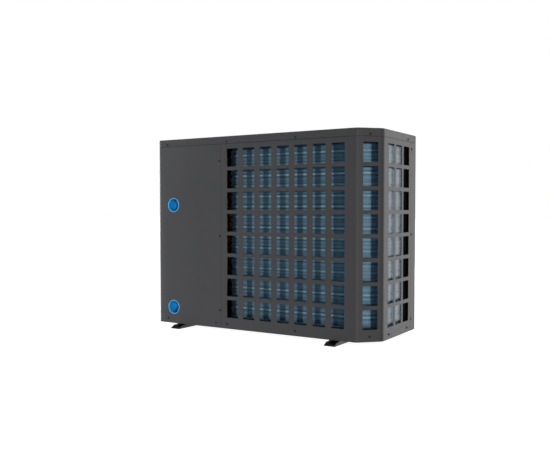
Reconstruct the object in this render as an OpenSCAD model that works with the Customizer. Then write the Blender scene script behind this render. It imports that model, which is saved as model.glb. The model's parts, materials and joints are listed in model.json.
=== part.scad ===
// Heat pump unit: horizontal-discharge pool heat pump in a sheet-metal casing.
// Millimetres. +Z up, ground at z = 0. +Y is the rear (air inlet) face, -Y the
// fan face, +X the compressor end, -X the coil end with the angled corner.

/* [Casing] */
// Casing width along X
case_w = 962; // [800:1:1100]
// Casing depth along Y
case_d = 379; // [320:1:450]
// Casing height without the feet
case_h = 740; // [600:1:900]
// Sheet thickness of the panels
sheet_t = 1.2; // [0.8:0.1:2]
// Leg of the 45 degree corner
chamfer_leg = 68.5; // [40:0.5:100]
// Outer bend radius between the rear and the angled corner
bend_r = 22; // [8:1:30]
// Outer bend radius between the angled corner and the side
side_bend_r = 30; // [8:1:34]
// Outer bend radius of the rear corner at the compressor end
end_r = 16; // [4:1:24]
// Outer bend radius of the two front corners
front_r = 4; // [4:1:12]
// Height of the lid skirt
skirt_h = 28.5; // [20:0.5:40]
// Visible gap at a seam
seam_gap = 0.8; // [0.4:0.1:2]
// X of the seam between the service panel and the grille
seam_x = 166.7; // [140:0.1:200]
// Y of the seam between the side panels and the front panel
seam_y = -139.5; // [-160:0.5:-110]

/* [Grille] */
// Window columns on the rear
win_cols = 7; // [4:1:7]
// Column pitch
win_pitch_x = 75; // [60:0.5:90]
// Window width on the rear
win_w = 51; // [30:0.5:60]
// Window rows
win_rows = 8; // [4:1:8]
// Row pitch
win_pitch_z = 82.85; // [60:0.05:90]
// Window height
win_h = 69; // [40:0.5:75]
// Corner radius of a window
win_r = 2.5; // [1:0.5:6]
// X of the first window's edge
win_x0 = 139; // [120:0.5:150]
// Top edge of the top row above the ground
win_z0 = 706.7; // [690:0.1:712]
// Window width in the angled corner
win_w_corner = 55; // [30:0.5:60]
// Window width on the side
win_w_side = 55; // [30:0.5:58]

/* [Feet] */
// Height of the casing above the ground
foot_h = 15; // [12:1:40]
// Width of a foot channel
foot_w = 42.4; // [30:0.1:60]
// Distance between the two feet
foot_span = 690; // [500:1:800]
// X of the middle between the feet
foot_mid = 21.5; // [-50:0.5:50]
// How far a foot reaches past the casing
foot_out = 38; // [25:1:60]
// Sheet thickness of a foot
foot_t = 2.5; // [1.5:0.5:4]
// Half width of an anchor slot
slot_r = 5; // [3:0.5:7]
// Length of an anchor slot
slot_l = 20; // [12:1:26]
// Distance between front and rear anchor slots
slot_span = 430; // [400:1:440]

/* [Coil] */
// Distance of the coil face behind the rear sheet
coil_gap = 62; // [40:1:80]
// X of the coil's outer face at the side
coil_x = -459; // [-462:1:-430]
// Depth of the coil, two tube rows
coil_t = 44; // [30:1:66]
// Outer bend radius of the coil
coil_r = 110; // [80:1:140]
// X of the coil's rear end
coil_end_x = 159; // [140:1:170]
// Y of the coil's side end
coil_end_y = -90; // [-110:1:-80]
// Bottom of the fins
coil_z0 = 32; // [24:1:50]
// Top of the fins
coil_z1 = 722; // [600:1:730]
// Tubes in a row
tube_n = 17; // [8:1:17]
// Vertical tube pitch
tube_pitch = 39.37; // [20:0.01:45]
// Height of the lowest tube
tube_z0 = 52.3; // [40:0.1:80]
// Tube radius
tube_r = 4.75; // [3:0.05:6]
// Distance of the first tube row behind the coil face
tube_in = 6.5; // [6:0.5:14]

/* [Fan] */
// X of the fan axis
fan_x = -135; // [-200:1:-100]
// Height of the fan axis
fan_z = 385; // [300:1:450]
// Blade tip radius
fan_r = 243; // [180:1:245]
// Throat radius of the bell mouth
throat_r = 250; // [190:1:252]
// Radius of the hub
hub_r = 62; // [40:1:80]
// Number of blades
blade_n = 3; // [3:1:5]
// Shaft radius
shaft_r = 6.35; // [4:0.05:8]
// Radial clearance of the shaft in its bearings
shaft_c = 0.05; // [0.01:0.01:0.1]
// Rings in the guard
guard_rings = 14; // [8:1:16]
// Ribs in the guard
guard_ribs = 12; // [6:1:16]

/* [Water] */
// X of both water sockets
port_x = 403.3; // [380:0.1:420]
// Height of the outlet socket
outlet_z = 492.1; // [400:0.1:540]
// Height of the inlet socket
inlet_z = 80.3; // [60:0.1:120]
// Socket bore radius for a 50 mm pipe
port_bore = 25.1; // [20:0.05:32]
// Radius of the visible rim
port_r = 28.6; // [27:0.1:33]
// Depth of the socket
port_depth = 34; // [20:1:45]
// How far the rim stands out of the panel
port_out = 1; // [0:0.5:6]
// Radius of the exchanger shell
shell_r = 66; // [50:1:68]

/* [Electrics] */
// X of the display centre
disp_x = 322; // [260:1:380]
// Height of the display centre
disp_z = 560; // [400:1:640]
// Display width
disp_w = 150; // [100:1:200]
// Display height
disp_h = 100; // [70:1:140]

/* [Hidden] */
$fn = 48;
// walls of the two ends; the origin is 4 mm off the middle of the casing
xp = case_w / 2 + 4;
xn = 4 - case_w / 2;
D = case_d;
z_b = foot_h;
z_t = foot_h + case_h;
z_s = z_t - skirt_h;
t = sheet_t;
fl_i = t + 0.2;
fl_o = 2 * t + 0.2;
floor_z = foot_h + 1;
floor_t = floor_z + t;
K = sqrt(2) - 1;
rim_y = D / 2;
ex_y = 70;
coil_y = D / 2 - coil_gap;
bend_cx = coil_x + coil_r;
bend_cy = coil_y - coil_r;
row_y = [coil_y - tube_in, coil_y - tube_in - coil_t / 2];
row_x = [coil_x + tube_in, coil_x + tube_in + coil_t / 2];
hair_r = norm([coil_t / 2, tube_pitch / 2]) / 2;
stub_x = coil_end_x + 4.5;
stub_y = coil_end_y - 4.5;
liq_x = port_x + 36;
comp = [258, -85];
acc = [356, -100];

// ---- plan outline of the casing, inset by d -------------------------------
function vA(d) = [xp - d, D / 2 - d];
function vB(d) = [xn + chamfer_leg + K * d, D / 2 - d];
function vC(d) = [xn + d, D / 2 - chamfer_leg - K * d];
function vE(d) = [xn + d, -D / 2 + d];
function vF(d) = [xp - d, -D / 2 + d];
function rev(v) = [for (i = [len(v) - 1:-1:0]) v[i]];
function unit(v) = v / norm(v);

// points of a left-turning bend of radius r at p, between a and b
function bend(a, p, b, r, n) =
  let (u = unit(p - a), w = unit(b - p),
       th = acos(max(-1, min(1, u * w))), l = r * tan(th / 2),
       m = [-u[1], u[0]], c = p - l * u + r * m,
       s = atan2(-m[1], -m[0]))
  [for (i = [0:n]) c + r * [cos(s + th * i / n), sin(s + th * i / n)]];

function service_path(d, e0, e1) =
  concat([[xp - d, e0]],
    bend([xp - d, e0], vA(d), [e1, D / 2 - d], end_r - d, 6),
    [[e1, D / 2 - d]]);
function grille_path(d, e0, e1) =
  concat([[e0, D / 2 - d]],
    bend([e0, D / 2 - d], vB(d), vC(d), bend_r - d, 6),
    bend(vB(d), vC(d), [xn + d, e1], side_bend_r - d, 8),
    [[xn + d, e1]]);
function front_path(d, e) =
  concat([[xn + d, e]],
    bend([xn + d, e], vE(d), vF(d), front_r - d, 6),
    bend(vE(d), vF(d), [xp - d, e], front_r - d, 6),
    [[xp - d, e]]);
function ring_path(d) =
  concat(bend(vE(d), vF(d), vA(d), front_r - d, 6),
    bend(vF(d), vA(d), vB(d), end_r - d, 6),
    bend(vA(d), vB(d), vC(d), bend_r - d, 6),
    bend(vB(d), vC(d), vE(d), side_bend_r - d, 8),
    bend(vC(d), vE(d), vF(d), front_r - d, 6));
module strip(a, b, z0, z1) {
  translate([0, 0, z0]) linear_extrude(height = z1 - z0)
    polygon(concat(a, rev(b)));
}

// rectangle with rounded corners, centred
function rr(w, h, r, n = 2) = [for (k = [0:3]) for (i = [0:n])
  let (sx = (k == 0 || k == 3) ? 1 : -1, sy = k < 2 ? 1 : -1,
       a = 90 * k + 90 * i / n)
  [sx * (w / 2 - r) + r * cos(a), sy * (h / 2 - r) + r * sin(a)]];

// ---- screws: [x, y, z, azimuth of the outward normal] ---------------------
chx = xn + chamfer_leg / 2;
chy = D / 2 - chamfer_leg / 2;
cover_pts = concat(
  [for (x = [434.2, 140.7, -164.1]) [x, D / 2, 734, 90]],
  [[chx, chy, 734, 135], [xn, -107.3, 735, 180]],
  [for (y = [120, -60]) [xp, y, 734, 0]],
  [for (x = [-400, -135, 130, 420]) [x, -D / 2, 734, -90]]);
base_pts = concat(
  [for (x = [433.7, 193.6, 139.9, -163.3]) [x, D / 2, 33.4, 90]],
  [[chx, chy, 34, 135]],
  [for (y = [66.7, -105.5]) [xn, y, 32, 180]],
  [for (y = [120, -60]) [xp, y, 33.4, 0]],
  [for (x = [-400, -135, 130, 420]) [x, -D / 2, 33.4, -90]]);
seam_pts = concat(
  [for (z = [660.4, 372, 84]) [seam_x + 7.5, D / 2, z, 90]],
  [for (z = [701, 381, 60]) [xn, seam_y - 6, z, 180]],
  [for (z = [701, 381, 60]) [xp, seam_y - 6, z, 0]]);
guard_pts = [for (i = [0:7]) let (a = 22.5 + 45 * i)
  [fan_x + 268 * cos(a), -D / 2 - 6, fan_z + 268 * sin(a), -90]];

module at(p) { translate([p[0], p[1], p[2]]) rotate([0, 0, p[3]]) children(); }
// pan-head screw, axis along local +X, bearing face at x = 0
module screw(l = 7) {
  difference() {
    rotate([0, 90, 0]) rotate_extrude($fn = 24)
      polygon([[0, -l], [1.1, -l], [1.9, -l + 1.6], [1.9, 0.05], [3.9, 0.05],
        [3.9, 1], [3.3, 1.9], [2, 2.5], [0, 2.5]]);
    for (a = [0, 90]) rotate([a, 0, 0]) translate([1.3, -2, -0.45])
      cube([3, 4, 0.9]);
  }
}
module drill(list, r = 2.25) {
  for (p = list) at(p) rotate([0, 90, 0])
    translate([0, 0, -12]) cylinder(r = r, h = 16, $fn = 24);
}

// ---- round pipe along points, radius r, one bend radius for each corner ---
module seg(a, b, r) {
  d = b - a;
  l = norm(d);
  if (l > 0.01) translate(a)
    rotate([0, acos(d[2] / l), atan2(d[1], d[0])]) cylinder(r = r, h = l);
}
module elbow(p, u, w, r, rb) {
  th = acos(u * w);
  n = unit(w - (u * w) * u);
  k = cross(u, n);
  c = p - rb * tan(th / 2) * u + rb * n;
  multmatrix([[-n[0], u[0], k[0], c[0]], [-n[1], u[1], k[1], c[1]],
      [-n[2], u[2], k[2], c[2]], [0, 0, 0, 1]])
    rotate_extrude(angle = th) translate([rb, 0]) circle(r = r);
}
function tlen(p, i, rb) = (i <= 0 || i >= len(p) - 1) ? 0 :
  let (u = unit(p[i] - p[i - 1]), w = unit(p[i + 1] - p[i]))
  rb[i - 1] * tan(acos(u * w) / 2);
module pipe(p, r, rb) {
  for (i = [0:len(p) - 2]) {
    u = unit(p[i + 1] - p[i]);
    seg(p[i] + tlen(p, i, rb) * u, p[i + 1] - tlen(p, i + 1, rb) * u, r);
  }
  for (i = [1:1:len(p) - 2])
    elbow(p[i], unit(p[i] - p[i - 1]), unit(p[i + 1] - p[i]), r, rb[i - 1]);
}
module lathe_y(y0 = 0) { translate([0, y0, 0]) rotate([-90, 0, 0]) rotate_extrude() children(); }

// ---- casing ---------------------------------------------------------------
module base_pan() {
  color("#4a4b4d") difference() {
    union() {
      translate([0, 0, floor_z]) linear_extrude(height = t)
        polygon(ring_path(fl_i));
      translate([0, 0, floor_z]) linear_extrude(height = 34) difference() {
        polygon(ring_path(fl_i));
        polygon(ring_path(fl_o));
      }
      // raised seats under the coil
      for (x = [-300, -80, 110]) translate([x - 20, coil_y - coil_t, floor_t - 0.4])
        cube([40, coil_t, coil_z0 - floor_t + 0.4]);
      translate([coil_x, -70, floor_t - 0.4])
        cube([coil_t, 40, coil_z0 - floor_t + 0.4]);
    }
    drill(base_pts);
    translate([-245, 40, floor_z - 1]) cylinder(r = 12.2, h = 6);
    // condensate holes along the coil
    for (x = [-230, -20, 60]) translate([x, coil_y - coil_t / 2, floor_z - 1])
      cylinder(r = 6, h = 6);
  }
}

module foot_rail(cx) {
  w = foot_w / 2;
  y1 = D / 2 + foot_out;
  color("#1a1b1c") translate([cx, 0, 0]) difference() {
    union() {
      translate([-w, -y1, 0]) cube([foot_w, 2 * y1, foot_t]);
      for (s = [-1, 1]) {
        translate([s > 0 ? w - foot_t : -w, -y1, 0])
          cube([foot_t, 2 * y1, floor_z]);
        translate([s > 0 ? w - foot_t : -w - 14, -183, floor_z - foot_t])
          cube([14 + foot_t, 366, foot_t]);
      }
    }
    for (s = [0, 1]) mirror([0, s, 0]) {
      rotate([90, 0, 90]) translate([0, 0, -60]) linear_extrude(height = 120)
        polygon([[D / 2 - 1.5, foot_h - 3], [y1 - 20, foot_h - 3],
          [y1 + 1, foot_t - 0.475], [y1 + 1, 30], [D / 2 - 1.5, 30]]);
      for (x = [-1, 1]) translate([x * (slot_l / 2 - slot_r), slot_span / 2, -1])
        cylinder(r = slot_r, h = foot_t + 2);
      translate([-(slot_l / 2 - slot_r), slot_span / 2 - slot_r, -1])
        cube([slot_l - 2 * slot_r, 2 * slot_r, foot_t + 2]);
      translate([0, D / 2 - 45, -1]) cylinder(r = 7, h = foot_t + 2);
    }
  }
}
module foot_rail_compressor_end() { foot_rail(foot_mid + foot_span / 2); }
module foot_rail_coil_end() { foot_rail(foot_mid - foot_span / 2); }

module top_cover() {
  color("#4a4b4d") difference() {
    union() {
      translate([0, 0, z_t - t]) linear_extrude(height = t)
        polygon(ring_path(0));
      translate([0, 0, z_s]) linear_extrude(height = skirt_h)
        difference() {
          polygon(ring_path(0));
          polygon(ring_path(t));
        }
    }
    drill(cover_pts);
  }
}

module service_panel() {
  e0 = seam_y + seam_gap / 2;
  e1 = seam_x + seam_gap / 2;
  color("#4a4b4d") difference() {
    union() {
      strip(service_path(0, e0, e1), service_path(t, e0, e1), z_b, z_s - seam_gap);
      strip(service_path(t / 2, e0, e1), service_path(fl_o, e0, e1),
        z_s - seam_gap - 4, z_s - seam_gap);
      strip(service_path(fl_i, e0, e1), service_path(fl_o, e0, e1),
        z_s - seam_gap - 4, z_t - 9);
      // lap flange behind the front panel's return
      translate([xp - fl_o, e0 - 20, 52]) cube([t, 22, z_s - 60]);
      translate([xp - fl_o, e0, 52]) cube([fl_o - t / 2, 4, z_s - 60]);
    }
    drill(cover_pts);
    drill(base_pts);
    drill(seam_pts);
    for (z = [outlet_z, inlet_z]) translate([port_x, D / 2 - 10, z])
      rotate([-90, 0, 0]) cylinder(r = port_r + 0.5, h = 20);
    // hand grip cut-out
    translate([xp - 10, -40, 537]) rotate([90, 0, 90])
      linear_extrude(height = 20) polygon(rr(110, 44, 12, 4));
  }
}

module grille_panel() {
  e0 = seam_x - seam_gap / 2;
  e1 = seam_y + seam_gap / 2;
  color("#45484c") difference() {
    union() {
      strip(grille_path(0, e0, e1), grille_path(t, e0, e1), z_b, z_s - seam_gap);
      strip(grille_path(t / 2, e0, e1), grille_path(fl_o, e0, e1),
        z_s - seam_gap - 4, z_s - seam_gap);
      strip(grille_path(fl_i, e0, e1), grille_path(fl_o, e0, e1),
        z_s - seam_gap - 4, z_t - 9);
      // lap flanges behind the service panel and the front panel
      translate([e0 - 2, D / 2 - fl_o, 52]) cube([22, t, z_s - 60]);
      translate([e0 - 4, D / 2 - fl_o, 52]) cube([4, fl_o - t / 2, z_s - 60]);
      translate([xn + fl_i, e1 - 20, 52]) cube([t, 22, z_s - 60]);
      translate([xn + t / 2, e1, 52]) cube([fl_o - t / 2, 4, z_s - 60]);
    }
    drill(cover_pts);
    drill(base_pts);
    drill(seam_pts);
    for (j = [0:win_rows - 1]) {
      z = win_z0 - win_pitch_z * j - win_h / 2;
      for (i = [0:win_cols - 1])
        window(win_x0 - win_pitch_x * i - win_w / 2, D / 2, z, 90, win_w);
      window(chx - 1.25, chy - 1.25, z, 135, win_w_corner);
      for (i = [0:2]) window(xn, 51.2 - 71.65 * i, z, 180, win_w_side);
    }
  }
}
module window(x, y, z, a, w) {
  translate([x, y, z]) rotate([0, 0, a]) rotate([90, 0, 90])
    linear_extrude(height = 12, center = true) polygon(rr(w, win_h, win_r));
}

module front_panel() {
  e = seam_y - seam_gap / 2;
  color("#4a4b4d") difference() {
    union() {
      strip(front_path(0, e), front_path(t, e), z_b, z_s - seam_gap);
      strip(front_path(t / 2, e), front_path(fl_o, e),
        z_s - seam_gap - 4, z_s - seam_gap);
      strip(front_path(fl_i, e - 22), front_path(fl_o, e - 22),
        z_s - seam_gap - 4, z_t - 9);
    }
    drill(cover_pts);
    drill(base_pts);
    drill(seam_pts);
    drill(guard_pts);
    translate([fan_x, -D / 2 - 5, fan_z]) rotate([-90, 0, 0])
      cylinder(r = throat_r + 5, h = 12);
    translate([430, -D / 2 - 5, 110]) rotate([-90, 0, 0])
      cylinder(r = 10.2, h = 12);
    translate([disp_x - 20, -D / 2 - 5, disp_z - 12]) cube([40, 12, 24]);
  }
}

// ---- fan ------------------------------------------------------------------
module bell_mouth() {
  y0 = -D / 2 + t + 0.2;
  color("#202224") difference() {
    translate([fan_x, y0, fan_z]) lathe_y()
      polygon([[throat_r, 0], [throat_r + 27, 0], [throat_r + 27, 2.5],
        [throat_r + 2.5, 2.5], [throat_r + 2.5, 46], [throat_r + 4.5, 54],
        [throat_r + 9.5, 59], [throat_r + 9.5, 61.5], [throat_r + 7.5, 61.5],
        [throat_r + 2, 56.5], [throat_r, 48]]);
    drill([for (p = guard_pts) [p[0], -D / 2, p[2], -90]], 2.1);
  }
}

module fan_guard() {
  r0 = 42;
  r1 = throat_r + 4;
  step = (r1 - r0) / guard_rings;
  color("#17181a") difference() {
    union() {
      // rings and ribs in one plane, standing off the panel
      translate([fan_x, -D / 2 - 6.5, fan_z]) rotate([90, 0, 0])
        linear_extrude(height = 7) {
          difference() {
            circle(r = r1 + 22);
            circle(r = r1);
          }
          for (i = [1:guard_rings - 1]) difference() {
            circle(r = r0 + i * step + 1.4);
            circle(r = r0 + i * step - 1.4);
          }
          circle(r = r0);
          for (i = [0:guard_ribs - 1]) rotate(360 / guard_ribs * i + 15)
            translate([r0 - 6, -2]) square([r1 - r0 + 12, 4]);
        }
      // rim down to the panel
      translate([fan_x, -D / 2 - 0.2, fan_z]) rotate([90, 0, 0])
        linear_extrude(height = 8) difference() {
          circle(r = r1 + 22);
          circle(r = r1 + 2);
        }
    }
    drill(guard_pts);
    // counterbores for the screw heads
    for (p = guard_pts) translate([p[0], -D / 2 - 6, p[2]])
      rotate([90, 0, 0]) cylinder(r = 5, h = 20, $fn = 24);
  }
}

// one wide blade as a closed grid; s runs from root to tip, c across the chord
bs = 8;
bc = 10;
function blade_pt(s, c, side) =
  let (r = hub_r - 2 + (fan_r - hub_r + 2) * s,
       a = 26 * pow(s, 1.6) + (c - 0.5) * (70 + 24 * s - 30 * s * s),
       th = 0.9 + 1.6 * (1 - pow(abs(2 * c - 1), 3)) * (1 - 0.4 * s),
       y = (c - 0.5) * (54 - 6 * s) - 9 * sin(180 * c) * (0.4 + 0.6 * s) + 4)
  [r * cos(a), y + side * th, r * sin(a)];
function bi(s, i, j) = s * (bs + 1) * (bc + 1) + i * (bc + 1) + j;
module blade() {
  polyhedron(
    points = [for (side = [1, -1]) for (i = [0:bs]) for (j = [0:bc])
      blade_pt(i / bs, j / bc, side)],
    faces = concat(
      [for (i = [0:bs - 1]) for (j = [0:bc - 1]) for (k = [0, 1])
        k == 0 ? [bi(0, i, j), bi(0, i + 1, j), bi(0, i + 1, j + 1)]
               : [bi(0, i, j), bi(0, i + 1, j + 1), bi(0, i, j + 1)]],
      [for (i = [0:bs - 1]) for (j = [0:bc - 1]) for (k = [0, 1])
        k == 0 ? [bi(1, i, j), bi(1, i + 1, j + 1), bi(1, i + 1, j)]
               : [bi(1, i, j), bi(1, i, j + 1), bi(1, i + 1, j + 1)]],
      [for (i = [0:bs - 1]) for (e = [0, bc]) for (k = [0, 1])
        let (p = [bi(0, i, e), bi(1, i, e), bi(1, i + 1, e), bi(0, i + 1, e)],
             q = e == 0 ? p : rev(p))
        k == 0 ? [q[0], q[1], q[2]] : [q[0], q[2], q[3]]],
      [for (j = [0:bc - 1]) for (e = [0, bs]) for (k = [0, 1])
        let (p = [bi(0, e, j), bi(0, e, j + 1), bi(1, e, j + 1), bi(1, e, j)],
             q = e == 0 ? p : rev(p))
        k == 0 ? [q[0], q[1], q[2]] : [q[0], q[2], q[3]]]));
}
module fan_rotor() {
  color("#2a2c2f") translate([fan_x, -140, fan_z]) {
    lathe_y() polygon([[shaft_r + 0.02, -32], [44, -32], [52, -30.5],
      [58, -27], [hub_r, -21], [hub_r, 32], [hub_r - 3, 32],
      [hub_r - 3, -20], [56, -25], [51, -28], [17, -28], [17, 4],
      [shaft_r + 0.02, 4]]);
    for (i = [0:blade_n - 1]) rotate([0, 360 / blade_n * i, 0]) blade();
  }
}
module motor_shaft() {
  color("#b8babd") translate([fan_x, 0, fan_z]) lathe_y()
    polygon([[0, -184], [shaft_r - 1, -184], [shaft_r, -183], [shaft_r, -74],
      [38.2, -74], [38.2, -18], [shaft_r, -18], [shaft_r, 3], [0, 3]]);
}
module fan_nut() {
  color("#9fa2a6") translate([fan_x, -172.2, fan_z]) rotate([90, 0, 0])
    difference() {
      union() {
        cylinder(r = 11, h = 8, $fn = 6);
        cylinder(r = 13, h = 1.6);
      }
      translate([0, 0, -1]) cylinder(r = shaft_r + 0.02, h = 12);
    }
}
module motor_housing() {
  color("#5c6064") translate([fan_x, 0, fan_z]) difference() {
    union() {
      lathe_y() polygon([[9, -94], [22, -94], [22, -90], [52, -90], [60, -84],
        [60, 4], [74, 4], [74, 8], [22, 8], [22, 12], [10, 12], [10, 8.1],
        [16, 8.1], [16, -2], [57, -2], [57, -82], [50, -87], [16, -87],
        [16, -92], [9, -92]]);
      // cooling ribs
      for (i = [0:11]) rotate([0, 30 * i + 15, 0])
        translate([58.5, -80, -1.5]) cube([5, 80, 3]);
    }
    for (i = [0:3]) rotate([0, 45 + 90 * i, 0]) translate([67, -10, 0])
      rotate([-90, 0, 0]) cylinder(r = 2.6, h = 30, $fn = 24);
  }
}
module motor_stator() {
  color("#b5713f") translate([fan_x, 0, fan_z]) lathe_y()
    polygon([[38.6, -76], [44, -80], [54, -80], [56.8, -76], [56.8, -12],
      [54, -8], [44, -8], [38.6, -12]]);
}
module motor_bearings() {
  color("#c9ccd0") translate([fan_x, 0, fan_z]) for (y = [-91.8, -1.8])
    lathe_y() polygon([[shaft_r + shaft_c, y], [9, y], [9, y + 0.8],
      [13, y + 0.8], [13, y], [15.9, y], [15.9, y + 9.7],
      [13, y + 9.7], [13, y + 8.9], [9, y + 8.9], [9, y + 9.7],
      [shaft_r + shaft_c, y + 9.7]]);
}
module motor_bracket() {
  y0 = 12.2;
  color("#a9adb1") difference() {
    union() {
      for (s = [-1, 1]) {
        translate([fan_x + s * 47.4 - 12, y0, floor_t + 0.1])
          cube([24, 1.5, coil_z1 + 1.7 - floor_t]);
        translate([fan_x + s * 59.4 - (s > 0 ? 1.5 : 0), y0, floor_t + 0.1])
          cube([1.5, 18, coil_z1 + 1.7 - floor_t]);
      }
      for (z = [fan_z - 47.4, fan_z + 47.4])
        translate([fan_x - 59.4, y0, z - 15]) cube([118.8, 1.5, 30]);
      translate([fan_x - 59.4, y0, coil_z1 + 0.3])
        cube([118.8, coil_y - y0 - 4, 1.5]);
      translate([fan_x - 59.4, y0, floor_t + 0.1]) cube([118.8, 30, 1.5]);
      // pads to the motor flange
      for (sx = [-1, 1]) for (sz = [-1, 1])
        translate([fan_x + sx * 47.4, 8.1, fan_z + sz * 47.4])
          rotate([-90, 0, 0]) cylinder(r = 7, h = 4.6, $fn = 24);
    }
    for (sx = [-1, 1]) for (sz = [-1, 1])
      translate([fan_x + sx * 47.4, 0, fan_z + sz * 47.4])
        rotate([-90, 0, 0]) cylinder(r = 2.7, h = 40, $fn = 24);
  }
}
module motor_screws() {
  color("#8d9094") for (i = [0:3]) translate([fan_x, 0, fan_z])
    rotate([0, 45 + 90 * i, 0]) translate([67, 13.8, 0]) rotate([-90, 0, 0])
      union() {
        translate([0, 0, -15]) cylinder(r = 2.45, h = 15.1, $fn = 24);
        cylinder(r = 4.6, h = 3.5, $fn = 6);
      }
}

// ---- coil -----------------------------------------------------------------
module fin_pack() {
  h = coil_z1 - coil_z0;
  color("#4f86a8") {
    translate([bend_cx, coil_y - coil_t, coil_z0])
      cube([coil_end_x - bend_cx, coil_t, h]);
    translate([bend_cx, bend_cy, coil_z0]) rotate([0, 0, 90])
      rotate_extrude(angle = 90) translate([coil_r - coil_t, 0])
        square([coil_t, h]);
    translate([coil_x, coil_end_y, coil_z0])
      cube([coil_t, bend_cy - coil_end_y, h]);
  }
}
module coil_tubes() {
  color("#b5713f") for (n = [0:tube_n - 1]) for (k = [0, 1]) {
    z = tube_z0 + tube_pitch * (n + k / 2);
    pipe([[stub_x, row_y[k], z], [row_x[k], row_y[k], z],
      [row_x[k], stub_y, z]], tube_r, [row_y[k] - bend_cy]);
  }
}
// the last tube before a circuit's outlet has no return bend
function circuit_end(n) = n == 3 || n == 7 || n == 11;
module return_bends() {
  color("#c07a45") for (n = [0:tube_n - 2]) if (!circuit_end(n)) {
    z2 = tube_z0 + tube_pitch * (n + 0.5);
    z1 = tube_z0 + tube_pitch * (n + 1);
    pipe([[stub_x, row_y[1], z2], [stub_x + hair_r, row_y[1], z2],
        [stub_x + hair_r, row_y[0], z1], [stub_x, row_y[0], z1]],
      tube_r, [hair_r, hair_r]);
  }
  // bends at the side end join the two rows
  color("#c07a45") for (n = [0:tube_n - 1]) {
    z1 = tube_z0 + tube_pitch * n;
    z2 = tube_z0 + tube_pitch * (n + 0.5);
    pipe([[row_x[0], stub_y, z1], [row_x[0], stub_y - hair_r, z1],
        [row_x[1], stub_y - hair_r, z2], [row_x[1], stub_y, z2]],
      tube_r, [hair_r, hair_r]);
  }
}
module coil_end_plate_rear() {
  color("#b9bdc0") difference() {
    union() {
      translate([coil_end_x, coil_y - coil_t - 3, coil_z0 - 10])
        cube([1.5, coil_t + 3, coil_z1 - coil_z0 + 16]);
      translate([coil_end_x, coil_y - coil_t - 3, coil_z0 - 10])
        cube([16, 1.5, coil_z1 - coil_z0 + 16]);
    }
    for (n = [0:tube_n - 1]) for (k = [0, 1])
      translate([coil_end_x - 5, row_y[k], tube_z0 + tube_pitch * (n + k / 2)])
        rotate([0, 90, 0]) cylinder(r = tube_r + 0.1, h = 12, $fn = 24);
  }
}
module coil_end_plate_side() {
  color("#b9bdc0") difference() {
    union() {
      translate([coil_x - 5, coil_end_y - 1.5, coil_z0 - 10])
        cube([coil_t + 8, 1.5, coil_z1 - coil_z0 + 16]);
      // baffle that covers the return bends
      translate([coil_x - 5, coil_end_y - 46, coil_z0 - 10])
        cube([1.5, 46, coil_z1 - coil_z0 + 16]);
    }
    for (n = [0:tube_n - 1]) for (k = [0, 1])
      translate([row_x[k], coil_end_y + 5, tube_z0 + tube_pitch * (n + k / 2)])
        rotate([90, 0, 0]) cylinder(r = tube_r + 0.1, h = 12, $fn = 24);
  }
}
module gas_header() {
  color("#b5713f") {
    translate([205, row_y[1], 178]) cylinder(r = 8, h = 534);
    for (n = [3, 7, 11, tube_n - 1]) {
      z = tube_z0 + tube_pitch * (n + 0.5);
      seg([stub_x, row_y[1], z], [203, row_y[1], z], tube_r);
    }
  }
}
module liquid_header() {
  color("#b5713f") {
    translate([228, row_y[0], 42]) cylinder(r = 5.5, h = 494);
    for (n = [0, 4, 8, 12]) {
      z = tube_z0 + tube_pitch * n;
      seg([stub_x, row_y[0], z], [226, row_y[0], z], tube_r - 0.5);
    }
  }
}

// ---- compressor end -------------------------------------------------------
module partition() {
  color("#a9adb1") difference() {
    union() {
      translate([150, -D / 2 + fl_o + 0.4, floor_t + 0.1])
        cube([t, coil_y - coil_t - 1.5 + D / 2 - fl_o - 0.4, 745 - floor_t]);
      translate([150, -D / 2 + t + 0.3, 52]) cube([14, t + 0.6, 660]);
      translate([150, coil_y - coil_t - 1.5 - t, floor_t + 0.1])
        cube([coil_end_x - 150 - 0.2, t, 745 - floor_t]);
    }
    translate([140, -60, 630]) cube([20, 70, 60]);
  }
}
module compressor() {
  color("#1d1e20") difference() {
    union() {
      translate([comp[0], comp[1], 0]) rotate_extrude()
        polygon([[0, 36], [38, 36], [50, 40], [57, 47], [60, 57], [60, 304],
          [58, 315], [52, 324], [43, 329], [0, 331]]);
      translate([comp[0], comp[1], 33]) linear_extrude(height = 3.2) {
        circle(r = 42);
        for (a = [90, 210, 330]) rotate(a) {
          translate([0, -16]) square([78, 32]);
          translate([78, 0]) circle(r = 16);
        }
      }
      // suction elbow to the accumulator and discharge stub
      pipe([[comp[0] + 50, acc[1], 72], [acc[0], acc[1], 72],
          [acc[0], acc[1], 91.9]], 8, [12]);
      translate([comp[0], comp[1], 325]) cylinder(r = 6.5, h = 12);
    }
    for (a = [90, 210, 330]) translate([comp[0] + 78 * cos(a),
        comp[1] + 78 * sin(a), 20]) cylinder(r = 9, h = 30, $fn = 24);
  }
}
module accumulator() {
  color("#1d1e20") translate([acc[0], acc[1], 0]) rotate_extrude()
    polygon([[0, 92], [12, 92], [24, 97], [31, 106], [33, 116], [33, 264],
      [31, 274], [24, 283], [12, 288], [9, 288], [9, 298], [0, 298]]);
}
module compressor_grommets() {
  color("#151515") for (a = [90, 210, 330])
    translate([comp[0] + 78 * cos(a), comp[1] + 78 * sin(a), 0])
      rotate_extrude($fn = 24) polygon([[4.6, floor_t], [15, floor_t],
        [15, 22], [13, 24], [15, 26], [15, 32.8], [8.8, 32.8], [8.8, 36.4],
        [13, 36.4], [13, 41], [11, 43], [4.6, 43]]);
}
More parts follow.
